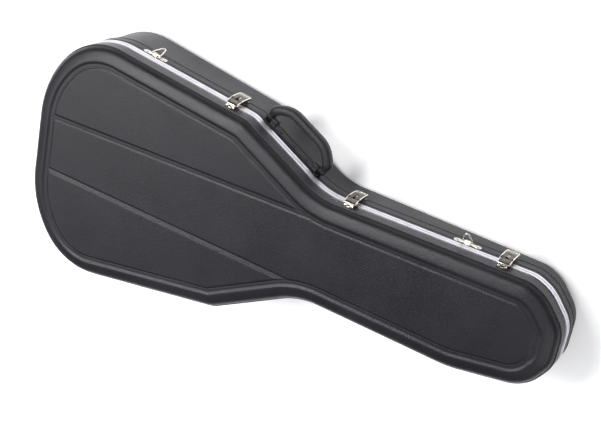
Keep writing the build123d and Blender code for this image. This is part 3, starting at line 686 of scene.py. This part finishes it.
# -------- padding
def cavity_outline():
    """The guitar-shaped space's plan and its outward normals, from the tail round the treble side."""
    body, upper = np.array([232.0, 0.0]), np.array([420.0, 0.0])
    body_radius, upper_radius, waist_radius = 200.0, 148.0, 70.0
    reach, other = body_radius + waist_radius, upper_radius + waist_radius
    apart = upper[0] - body[0]
    x = (apart ** 2 + reach ** 2 - other ** 2) / (2 * apart)
    waist = body + np.array([x, math.sqrt(reach ** 2 - x ** 2)])
    half, soft = 74.0, 14.0
    head, head_radius, spacing = 1050.0, 50.0, 15
    # the centre of the rounding where the upper bout meets the neck well
    corner_y = half + soft
    corner_x = upper[0] + math.sqrt((upper_radius + soft) ** 2 - corner_y ** 2)
    corner = np.array([corner_x, corner_y])
    arcs = []

    def arc(centre, radius, first, last, outward, steps):
        for a in np.linspace(first, last, steps):
            direction = np.array([math.cos(a), math.sin(a)])
            arcs.append((centre + direction * radius, direction * outward))

    def bearing(vector):
        return math.atan2(vector[1], vector[0])

    arc(body, body_radius, math.pi, bearing(waist - body), 1, 34)
    arc(waist, waist_radius, bearing(body - waist), bearing(upper - waist), -1, 12)
    arc(upper, upper_radius, bearing(waist - upper), bearing(corner - upper), 1, 18)
    arc(corner, soft, bearing(upper - corner), -math.pi / 2, -1, 8)
    for x in np.arange(corner_x + spacing, head - head_radius, spacing):
        arcs.append((np.array([x, half]), np.array([0.0, 1.0])))
    arc(np.array([head - head_radius, half - head_radius]), head_radius, math.pi / 2, 0, 1, 12)
    arcs.append((np.array([head, 0.0]), np.array([1.0, 0.0])))
    arcs += [(p * [1, -1], n * [1, -1]) for p, n in arcs[-2:0:-1]]
    points, normals = (np.array(column) for column in zip(*arcs))
    keep = [0]
    for i in range(1, len(points)):
        if np.linalg.norm(points[i] - points[keep[-1]]) > 0.5:
            keep.append(i)
    return points[keep], normals[keep]


CAVITY, CAVITY_OUT = cavity_outline()


def cavity_ring(grow, z):
    """The guitar-shaped plan made wider, at height z (a number, or a function of x and y)."""
    plan = CAVITY + CAVITY_OUT * grow
    height = z(plan[:, 0], plan[:, 1]) if callable(z) else np.full(len(plan), float(z))
    return np.column_stack([plan, height])


def soft_wave(x, y, size, amount):
    """Slow unevenness of padding at a point, in millimetres."""
    return amount * noise.noise(Vector((x / size, y / size, 0.7)))


def inside_points(loop, step, clearance):
    """Grid points inside a closed loop, at least clearance from it."""
    loop = np.asarray(loop)[:, :2]
    low, high = loop.min(0), loop.max(0)
    found = []
    for x in np.arange(low[0] + step / 2, high[0], step):
        for y in np.arange(low[1] + step / 2, high[1], step):
            if inside(loop, x, y) and np.sqrt(((loop - [x, y]) ** 2).sum(1)).min() > clearance:
                found.append((x, y))
    return found


def base_padding():
    """Foam block under plush: rolled lip round the guitar-shaped well, soft walls and floor."""
    top = -1.0
    floor_lift = 20.6 / math.cos(WEDGE)

    def floor(x, y):
        return -DEPTH_TAIL + x * SLOPE + floor_lift

    outer = [(40.0, lifted(5.4)), (24.0, lifted(5.2)), (11.0, lifted(12.0)), (7.8, lifted(22.0)),
             (7.8, -39.0), (7.8, -11.5), (11.2, -8.5), (11.2, -2.4), (11.6, -1.5), (12.6, top)]
    points, faces = ring_mesh(outer)
    rim_at = len(points) - COLUMNS
    points, faces = close_with(points, faces, points[:COLUMNS], 0, lambda x, y: bottom(x) + 5.4)
    lip = 8.0
    rings = [cavity_ring(lip + 0.5, top)]
    rings += [cavity_ring(lip * (1 - s), top - lip * (1 - c)) for s, c in quarter(7)]
    rings.append(cavity_ring(0.25, -34.0))
    roll = 9.0
    rings += [cavity_ring(-roll * (1 - c), lambda x, y, s=s: floor(x, y) + roll * (1 - s))
              for s, c in quarter(6)]
    rings.append(cavity_ring(-roll - 5, floor))
    start = len(points)
    size = len(CAVITY)
    # the wall's foot bulges unevenly
    for level in (8, 9, 10):
        for i, (x, y, _) in enumerate(rings[level].copy()):
            rings[level][i][:2] += CAVITY_OUT[i] * (abs(soft_wave(x, y, 46.0, 0.45)) * 0.3)
    points += [tuple(p) for level in rings for p in level]
    for i in range(len(rings) - 1):
        for k in range(size):
            m = (k + 1) % size
            a = start + i * size
            faces.append((a + k, a + m, a + size + m, a + size + k))
    rim = points[rim_at:rim_at + COLUMNS]
    points, faces = close_with(points, faces, rim, rim_at, lambda x, y: top,
                               holes=[(rings[0], start)])
    last = start + (len(rings) - 1) * size
    loop = points[last:last + size]
    points, faces = close_with(points, faces, loop, last,
                               lambda x, y: floor(x, y) + 0.35 + soft_wave(x, y, 60.0, 0.6),
                               extra=inside_points(loop, 14.0, 7.0))
    obj = piece("base_padding", points, faces, PLUSH, "base", ["base_foam", "base_lining"], 50.0)


def lid_padding():
    """Foam rim and pad under plush, with a raised seam round the pad and a slow unevenness."""
    top, roll, ceiling = 29.2, 10.0, 42.9
    outer = [(46.0, ceiling), (22.0, ceiling), (9.5, 37.5), (6.0, 29.0), (6.0, 11.5), (11.2, 8.5),
             (11.2, 2.4), (11.6, 1.5), (12.6, 1.0), (16.0, 1.0)]
    outer += [(18.8 + 6.2 * s, 1.0 + 6.2 * (1 - c)) for s, c in quarter(6)]
    outer.append((25.0, 15.0))
    outer += [(25.0 + roll * (1 - c), top - roll * (1 - s)) for s, c in quarter(6)]
    seam = 46.0
    outer += [(40.0, top), (seam - 1.6, top), (seam - 0.6, top + 0.7), (seam + 0.6, top + 0.7),
              (seam + 1.6, top)]
    points, faces = ring_mesh(outer)
    points, faces = close_with(points, faces, points[:COLUMNS], 0, lambda x, y: ceiling)
    last = len(outer) * COLUMNS - COLUMNS
    loop = points[last:last + COLUMNS]
    points, faces = close_with(points, faces, loop, last,
                               lambda x, y: top + 0.5 - abs(soft_wave(x, y, 55.0, 1.0)),
                               extra=inside_points(loop, 14.0, 7.0))
    obj = piece("lid_padding", points, faces, PLUSH, "lid",
                ["lid_pad", "lid_foam_rim", "lid_lining"], 50.0)


# -------- fittings
# The lever's outer face: height against distance outward; then half widths of the lever and of its slot.
LEVER_FACE = ([-38, -33, -27, -20, -8, 0, 3.6], [7.4, 8.9, 10.0, 10.6, 10.5, 10.3, 9.8])
LEVER_HALF = 12.0
WINDOW_HALF = 3.1
LEVER_SHEET = 1.1
# The places of the latch's pivot and of the strap rings' wires: outward, height.
PIVOT = (8.0, 0.5)
STRAP_WIRE = (3.2, -16.5)


def lever_face(z):
    """Outer face of the lever at a height."""
    return float(np.interp(z, *LEVER_FACE))


def latch(index):
    """Lever with a rolled rim, its window for the claw, arms and the lugs for the claw's pin."""
    place = fitting(f"latch_{index}_lever", *PIVOT)
    mesh = Mesh()
    top, window, tip = 3.4, -15.8, -38.0
    rows = []
    for z in np.linspace(window, tip, 14):
        near_tip = max(0.0, (tip + 7.0 - z) / 7.0)
        width = LEVER_HALF - 0.4 - 6.0 * (1 - math.sqrt(max(0.0, 1 - near_tip ** 2)))
        rows.append([(u * width, lever_face(z) - 0.55 * abs(u) ** 2.5, z) for u in np.linspace(-1, 1, 13)])
    mesh.pressed(rows, LEVER_SHEET)
    arm = [(4.3, 1.5), (6.2, 3.3), (8.0, top), (9.6, top), (9.9, 0.0), (10.1, -18), (9.4, -27),
           (7.6, -34.0), (6.2, -33.0), (4.6, -20), (4.2, -4)]
    lug = [(1.3, -10.5), (2.2, -12.8), (8.6, -22), (9.8, -22), (10.0, -17.2), (9.6, -17.0),
           (5.6, -9.4), (3.5, -8.0), (1.8, -8.6)]
    for side in (-1, 1):
        mesh.slab(arm, *sorted((side * 10.8, side * LEVER_HALF)))
        mesh.slab(lug, *sorted((side * 7.0, side * 8.5)))
        line = np.linspace(WINDOW_HALF, LEVER_HALF - 0.4, 8) * side
        mesh.pressed([[(x, lever_face(z) - 0.55 * abs(x / LEVER_HALF) ** 2.5, z) for x in line]
                      for z in np.linspace(top, window - 0.5, 9)], LEVER_SHEET)
    # Painted shade: lever, arms and lugs dark from z = -22 up, lighter towards the tip.
    painted_tones = [0.55 - 0.5 * min(1.0, max(0.0, (z + 34.0) / 12.0)) for _, _, z in mesh.points]
    edge = LEVER_HALF - 0.75
    path = [(-edge, lever_face(z) - 0.25, z) for z in (top - 0.6, -8.0, -20.0, -27.0, -33.5)]
    path.append((-edge + 5.0, lever_face(tip) - 0.1, tip + 0.4))
    path += [(-x, n, z) for x, n, z in path[::-1]]
    mesh.tube(smooth_path(path, 4.0, 4), 1.05, sides=10)
    # Painted highlight: the rolled rim painted bright.
    painted_tones += [0.95] * (len(mesh.points) - len(painted_tones))
    piece(f"latch_{index}_plate", mesh.points, mesh.faces, NICKEL_PAINTED_LIGHT, f"latch_{index}_lever",
          [f"latch_{index}_lever"], 40.0, place, painted_tones)


def claw(index):
    """Draw strip on the lever's pin with a hood that carries on the lever's face to the keeper."""
    place = fitting(f"latch_{index}_lever", *PIVOT)
    mesh = Mesh()
    pull = (3.5, -10.5)
    mesh.tube([(x, pull[0], pull[1]) for x in (-6.5, 0, 6.5)], 2.25, sides=20)
    strip = [(-10.0, 2.6), (-2.0, 2.6), (2.0, 2.8), (4.0, 7.4), (8.0, 8.6), (16.0, 8.6), (17.2, 8.2)]
    across = np.linspace(-1, 1, 9)
    mesh.grid_sheet([[(u * width, 5.5 - 0.4 * u * u, z) for u in across] for z, width in strip],
                    [[(u * width, 2.9, z) for u in across] for z, width in strip])
    hood = [(4.3, 9.6), (8.0, 8.9), (11.0, 7.9), (13.5, 6.6), (15.4, 5.2), (16.6, 4.3)]
    rows = []
    for z, n in hood:
        width = LEVER_HALF - 0.3 - 0.12 * max(0.0, z - 11.0)
        rows.append([(u * width, n - 0.5 * abs(u) ** 2.5, z) for u in np.linspace(-1, 1, 13)])
    mesh.pressed(rows, 1.2)
    # Painted shade: the pull bar, draw strip and hood painted dark.
    painted_tones = [0.10] * len(mesh.points)
    for side in (-1, 1):
        cheek = [(3.2, 6.0)] + [(n - 0.7, z) for z, n in hood[:-1]] + [(3.2, 15.0)]
        mesh.slab(cheek, *sorted((side * 10.3, side * (LEVER_HALF - 0.9))))
        mesh.tube(smooth_path([(side * (LEVER_HALF - 0.9 - 0.12 * max(0.0, z - 11.0)), n - 0.5, z)
                               for z, n in hood], 2.0, 3), 0.8, sides=8)
    mesh.tube([(-10.6, 4.2, 16.5), (0, 4.6, 16.7), (10.6, 4.2, 16.5)], 0.95, sides=10)
    hook = [(4.2, 15.7), (4.2, 17.1), (0.9, 17.1), (0.7, 16.4), (0.9, 15.7)]
    mesh.slab(hook, -8.4, 8.4)
    # Painted highlight: the cheeks, their rolled edges, the bar and the hook painted bright.
    painted_tones += [0.95] * (len(mesh.points) - len(painted_tones))
    obj = piece(f"latch_{index}_hook", mesh.points, mesh.faces, NICKEL_PAINTED_LIGHT, f"latch_{index}_claw",
                [f"latch_{index}_claw"], 40.0, place, painted_tones)
    bevel(obj, 0.2)


def keeper(index):
    """Keeper plate on the lid with its bar and two square lugs."""
    place = fitting(f"latch_{index}_lever", *PIVOT)
    mesh = Mesh()
    mesh.plate(rounded([(-9, 8.7), (9, 8.7), (9, 25), (-9, 25)], 2.2), -1.6, -0.3)
    mesh.slab([(-0.4, 12.4), (1.9, 12.4), (2.1, 13.3), (1.9, 14.2), (-0.4, 14.2)], -7.9, 7.9)
    # Painted shade: the plate and its bar painted dark.
    painted_tones = [0.12] * len(mesh.points)
    for x in (-6.6, 6.6):
        lug = rounded([(-0.5, 17.4), (1.7, 17.6), (1.9, 19.6), (-0.5, 20.6)], 0.6, 3)
        mesh.slab(lug, x - 1.8, x + 1.8)
    # Painted light: the lugs painted half bright.
    painted_tones += [0.5] * (len(mesh.points) - len(painted_tones))
    obj = piece(f"latch_{index}_catch", mesh.points, mesh.faces, NICKEL_PAINTED_LIGHT, "lid",
                [f"latch_{index}_keeper"], 40.0, place, painted_tones)
    bevel(obj, 0.25)


def handle():
    """Moulded arch grip with soft oval section and flared feet, and its ribbed base plate."""
    place = fitting("handle_fold", 8.0, -23.0, -1.0)
    foot, shoulder, middle, height = 68.3, 43.0, 48.0, -23.0
    # half depth and half width of the section, at the feet and along the grip
    thin, thick = (6.5, 6.1), (9.0, 9.8)
    sides, squareness, spacing = 28, 0.78, 3.5
    corners = [(foot, 8.0, 0), (foot, 27.0, 0), (shoulder, middle, 0), (-shoulder, middle, 0),
               (-foot, 27.0, 0), (-foot, 8.0, 0)]
    raw = smooth_path(corners, 17.0, 10)
    path = []
    for a, b in zip(raw, raw[1:]):
        steps = max(1, int(math.dist(a, b) / spacing))
        path += [tuple(np.array(a) + (np.array(b) - np.array(a)) * (k / steps)) for k in range(steps)]
    path.append(raw[-1])
    mesh = Mesh()
    rings = []
    for i, (x, n, _) in enumerate(path):
        before, after = np.array(path[max(i - 1, 0)]), np.array(path[min(i + 1, len(path) - 1)])
        tangent = (after - before) / np.linalg.norm(after - before)
        normal = np.array([-tangent[1], tangent[0], 0.0])
        share = np.clip((n - 12.0) / 14.0, 0, 1)
        share = share * share * (3 - 2 * share)
        depth, width = (low + (high - low) * share for low, high in zip(thin, thick))
        points = []
        for k in range(sides):
            a = 2 * math.pi * k / sides
            c, s = math.cos(a), math.sin(a)
            u = math.copysign(abs(c) ** squareness, c) * depth
            v = math.copysign(abs(s) ** squareness, s) * width
            points.append(tuple(np.array([x, n, height]) + normal * u + [0.0, 0.0, v]))
        rings.append(points)
    mesh.loft(rings)
    for side in (-1, 1):
        mesh.tube([(side * x, 8.0, height) for x in (61.7, 62.4, 65.0, 71.5, 74.2, 74.9)],
                  [5.2, 6.0, 6.1, 6.1, 6.0, 5.2], sides=24)
    piece("handle_arch", mesh.points, mesh.faces, HANDLE, "handle", ["handle_grip"],
          50.0, place)
    trim = Mesh()
    low, high, face = -31.5, -14.0, 1.4
    frame_path = [(x, face, z) for x, z in rounded([(-40, low), (40, low), (40, high), (-40, high)], 4.0)]
    trim.tube(frame_path, 1.0, closed=True, sides=8)
    for x in np.arange(-36.0, 36.1, 3.0):
        trim.slab([(face - 0.1, low + 1.5), (face + 0.7, low + 1.8), (face + 0.7, high - 1.8),
                   (face - 0.1, high - 1.5)], x - 0.8, x + 0.8)
    border = rounded([(-73.6, -34.6), (69.6, -34.6), (69.6, -11), (-73.6, -11)], 7.0)
    trim.tube([(x, face - 0.2, z) for x, z in border], 0.9, closed=True, sides=8)
    for side in (-1, 1):
        ear = rounded([(side * 42, -31), (side * 50, -33), (side * 50, -13), (side * 42, -15)], 3.0)
        trim.tube([(x, face + 0.2, z) for x, z in ear], 1.0, closed=True, sides=8)
        cheek = [(face - 0.1, -32.5), (5.0, -31.0), (9.5, -26.0), (9.5, -20.0), (5.0, -15.0),
                 (face - 0.1, -13.5)]
        trim.slab(cheek, *sorted((side * 49.6, side * 60.6)))
    obj = piece("handle_plate_trim", trim.points, trim.faces, HANDLE, "base",
                sharp=40.0, place=place)
    bevel(obj, 0.5)


def strap_plate(index):
    """Riveted plate with lobed ends and a barrel for the ring."""
    height = STRAP_WIRE[1]
    place = fitting(f"strap_ring_{index}", *STRAP_WIRE)
    mesh = Mesh()
    half = [(0, 6.4), (6.5, 6.4), (9.5, 4.6), (13.0, 4.4), (15.5, 6.0), (19.5, 6.6), (24.0, 5.2),
            (26.8, 0)]
    ring_points = [(x, z) for x, z in half] + [(x, -z) for x, z in half[::-1][1:]]
    ring_points += [(-x, -z) for x, z in half[1:]] + [(-x, z) for x, z in half[::-1][1:-1]]
    mesh.plate(rounded([(x, z + height) for x, z in ring_points], 2.4, 3), -1.6, 0.25)
    barrel = [(-0.3, height - 3.0), (2.6, height - 2.9), (5.4, height - 1.6), (6.0, height),
              (5.4, height + 1.6), (2.6, height + 2.9), (-0.3, height + 3.0)]
    mesh.slab(rounded(barrel, 0.8, 3), -4.5, 4.5)
    for side in (-1, 1):
        mesh.tube([(side * 19.0 + 3.4 * math.cos(a), 0.3, height + 3.4 * math.sin(a))
                   for a in np.linspace(0, 2 * math.pi, 16, endpoint=False)], 0.6, closed=True, sides=8)
    obj = piece(f"strap_plate_{index}_lobed", mesh.points, mesh.faces, WIRE, "base",
                [f"strap_plate_{index}"], 40.0, place)
    bevel(obj, 0.3)


def strap_ring(index, lean):
    """Wire D ring turned to its resting lean, in degrees towards the lid."""
    outward, height = STRAP_WIRE
    place = fitting(f"strap_ring_{index}", outward, height)
    reach, half, wire = 27.6, 9.0, 1.4
    corners = [(half, 0), (half * 0.95, 7), (3.2, reach), (-3.2, reach), (-half * 0.95, 7), (-half, 0)]
    flat = smooth_path(corners, 4.5, 8)
    path = flat + [(x, 0.0) for x in (-half * 0.5, 0.0, half * 0.5)]
    c, s = math.cos(math.radians(lean)), math.sin(math.radians(lean))
    mesh = Mesh()
    mesh.tube([(x, outward + y * c, height + y * s) for x, y in path], wire, closed=True, sides=12)
    piece(f"strap_ring_{index}_wire", mesh.points, mesh.faces, WIRE, f"strap_ring_{index}",
          [f"strap_ring_{index}"], 60.0, place)


# -------- CAD nodes that stay
def dress():
    """Materials and softened edges, in millimetres, for the CAD nodes that stay in view."""
    latches, hinges = range(1, 5), range(1, 4)
    groups = [
        (RIVET, 0, ["latch_base_rivets", "hinge_base_rivets", "hinge_lid_rivets", "strap_rivets"]),
        (RIVET, 0.2, ["latch_pivot_pins", "hinge_pins", "handle_pins"]),
        (RIVET, 0.15, [f"latch_{n}_claw_pin" for n in latches]),
        (NICKEL, 0, ["latch_keeper_rivets"]),
        (NICKEL, 0.25, [f"latch_{n}_base" for n in latches]),
        (NICKEL, 0.2, [f"hinge_{n}_{side}_leaf" for n in hinges for side in ("base", "lid")]),
        (HANDLE, 0.5, ["handle_plate"]),
        (SCREWS, 0, ["handle_rivets"]),
        (BOARD, 1.5, ["compartment_" + name for name in ("body_wall", "neck_wall", "shelf", "flap")]),
        (PLUSH, 2.5, ["neck_cradle"]),
        (BRASS, 0.15, ["compartment_shelf_leaf", "compartment_flap_leaf"]),
        (BRASS, 0.1, ["compartment_hinge_pin"]),
        (RIBBON, 0.4, ["compartment_pull"]),
    ]
    for material, width, names in groups:
        for node in (NODES[name] for name in names):
            node.data.materials.clear()
            node.data.materials.append(material)
            if width:
                bevel(node, width, weld=True)


# -------- camera, floor, light
def stage():
    """Pale paper floor, just under the case."""
    half_size, rows, drop = 9.0, 24, 0.0005
    line = np.linspace(-half_size, half_size, rows)
    points = [(x, y, -drop) for x in line for y in line]
    faces = [(i * rows + j, (i + 1) * rows + j, (i + 1) * rows + j + 1, i * rows + j + 1)
             for i in range(rows - 1) for j in range(rows - 1)]
    mesh = bpy.data.meshes.new("floor")
    mesh.from_pydata(points, [], faces)
    floor = bpy.data.objects.new("floor", mesh)
    bpy.context.scene.collection.objects.link(floor)
    paper = Nodes("floor_paper", Roughness=0.95, Specular_IOR_Level=0.1, Emission_Strength=0.25)
    paper.bsdf.inputs["Emission Color"].default_value = (1, 1, 1, 1)
    paper.set("Base Color", paper.tint(paper.noise(3.0), (0.90, 0.90, 0.90), (0.92, 0.92, 0.92)))
    mesh.materials.append(paper.material)
    floor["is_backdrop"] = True


def area(name, target, direction, distance, size, power):
    """Soft panel light, placed from the object along a direction."""
    data = bpy.data.lights.new(name, "AREA")
    data.shape = "RECTANGLE"
    data.size, data.size_y = size
    data.energy = power
    lamp = bpy.data.objects.new(name, data)
    bpy.context.scene.collection.objects.link(lamp)
    way = Vector(direction).normalized()
    lamp.location = Vector(target) + way * distance
    lamp.rotation_euler = way.to_track_quat("Z", "Y").to_euler()


def camera():
    """The camera of the three-quarter view, given in the valance frame."""
    turn = Matrix.Rotation(WEDGE, 3, "Y")
    right = turn @ Vector((0.8650, 0.1779, -0.4691))
    up = turn @ Vector((-0.3441, 0.8908, -0.2966))
    back = turn @ Vector((0.3651, 0.4180, 0.8318))
    data = bpy.data.cameras.new("camera")
    data.sensor_width, data.lens = 36.0, 82.74
    data.clip_start, data.clip_end = 0.05, 60.0
    cam = bpy.data.objects.new("camera", data)
    bpy.context.scene.collection.objects.link(cam)
    axes = Matrix((right, up, back)).transposed().to_4x4()
    axes.translation = Vector(seat([(1481.5, 1079.8, 2080.6)])[0])
    cam.matrix_world = axes
    bpy.context.scene.camera = cam


def sky():
    """Soft room: bright overhead, dim towards the horizon."""
    world = bpy.data.worlds.new("studio")
    world.use_nodes = True
    tree = world.node_tree
    place = tree.nodes.new("ShaderNodeTexCoord")
    parts = tree.nodes.new("ShaderNodeSeparateXYZ")
    tree.links.new(place.outputs["Generated"], parts.inputs[0])
    rise = tree.nodes.new("ShaderNodeMapRange")
    rise.interpolation_type = "SMOOTHSTEP"
    for name, value in {"From Min": 0.30, "From Max": 0.95, "To Min": 0.10, "To Max": 0.70}.items():
        rise.inputs[name].default_value = value
    tree.links.new(parts.outputs["Z"], rise.inputs["Value"])
    shade = tree.nodes["Background"]
    shade.inputs["Color"].default_value = (0.95, 0.96, 1.0, 1)
    tree.links.new(rise.outputs["Result"], shade.inputs["Strength"])
    bpy.context.scene.world = world


def light():
    """The room, a long softbox over the crown, a wash on the tail and a fill for the shadows."""
    sky()
    bpy.context.scene.view_settings.view_transform = "Standard"
    low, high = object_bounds()
    centre = (low + high) / 2
    area("crown_softbox", centre, (-0.38, 0.27, 0.89), 2.8, (2.4, 0.8), 100)
    area("tail_wash", centre, (-0.66, -0.22, 0.72), 3.2, (1.5, 1.5), 16)
    area("shadow_fill", centre, (0.62, -0.35, 0.70), 3.6, (2.0, 2.0), 34)


lid_shell()
base_shell()
valances()
base_padding()
lid_padding()
for number in range(1, 5):
    latch(number)
    claw(number)
    keeper(number)
handle()
strap_plate(1)
strap_plate(2)
strap_ring(1, -82.0)
strap_ring(2, 40.0)
dress()
stage()
camera()
light()
